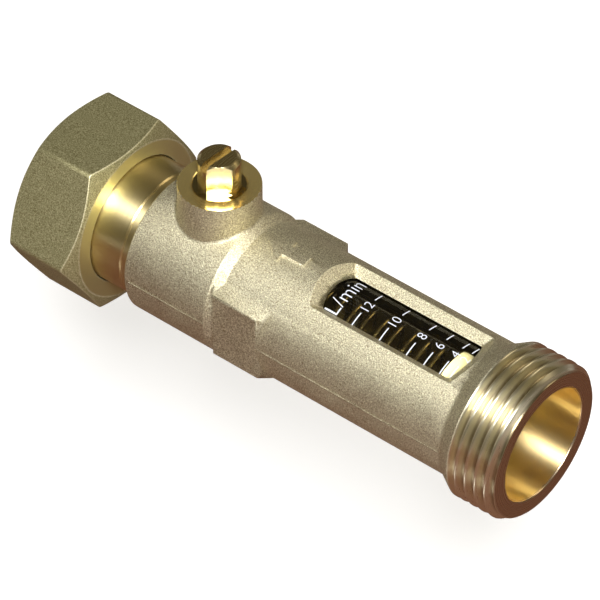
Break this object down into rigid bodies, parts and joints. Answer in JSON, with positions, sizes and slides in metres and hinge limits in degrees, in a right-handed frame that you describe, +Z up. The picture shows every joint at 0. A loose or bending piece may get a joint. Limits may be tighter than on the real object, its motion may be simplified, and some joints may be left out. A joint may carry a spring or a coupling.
{
  "type": "rotameter",
  "caption": "Inline rotameter with a sight tube, sprung float, regulating ball valve, union nut and male thread.",
  "frame": {"origin": "centre of the union's sealing face, where the next pipe's end meets the gasket", "axes": "+X along the tube and out of the male thread, against the flow; +Z up along the valve's spindle; +Y to the left of +X"},
  "size_m": [0.119, 0.0416, 0.0472],
  "materials": {
    "cast_brass": "as cast",
    "forged_brass": "pickled",
    "turned_brass": "bright turned",
    "plated_ball": "polished",
    "spring_steel": "drawn",
    "white_polymer": "matt",
    "float_polymer": "matt",
    "clear_polymer": "clear",
    "black_rubber": "matt"
  },
  "bodies": {
    "meter": {"valve_body": "cast_brass", "tailpiece": "turned_brass", "tailpiece_o_ring": "black_rubber", "union_gasket": "black_rubber", "outlet_ball_seat": "white_polymer", "inlet_ball_seat": "white_polymer", "thrust_washer": "white_polymer", "sight_tube": "clear_polymer", "outlet_tube_o_ring": "black_rubber", "inlet_tube_o_ring": "black_rubber", "metering_rod": "turned_brass", "rod_carrier": "turned_brass", "rod_nut": "turned_brass", "tube_retaining_ring": "spring_steel", "spring_rest": "turned_brass", "float_spring": "spring_steel"},
    "nut": {"union_nut": "forged_brass"},
    "valve": {"ball": "plated_ball", "spindle": "turned_brass", "lower_spindle_o_ring": "black_rubber", "upper_spindle_o_ring": "black_rubber", "spindle_clip": "spring_steel"},
    "indicator": {"float": "float_polymer"}
  },
  "joints": [
    {"name": "union_nut_turn", "type": "hinge", "parent": "meter", "child": "nut", "pos_m": [0, 0, 0], "axis": [1, 0, 0], "continuous": true},
    {"name": "valve_turn", "type": "hinge", "parent": "meter", "child": "valve", "pos_m": [0.03, 0, 0], "axis": [0, 0, 1], "range_deg": [-85, 5]},
    {"name": "float_travel", "type": "slide", "parent": "meter", "child": "indicator", "axis": [-1, 0, 0], "range_m": [0, 0.0273], "stiffness_N_per_m": 8, "springref_m": -0.01, "deforming": ["float_spring"]}
  ]
}
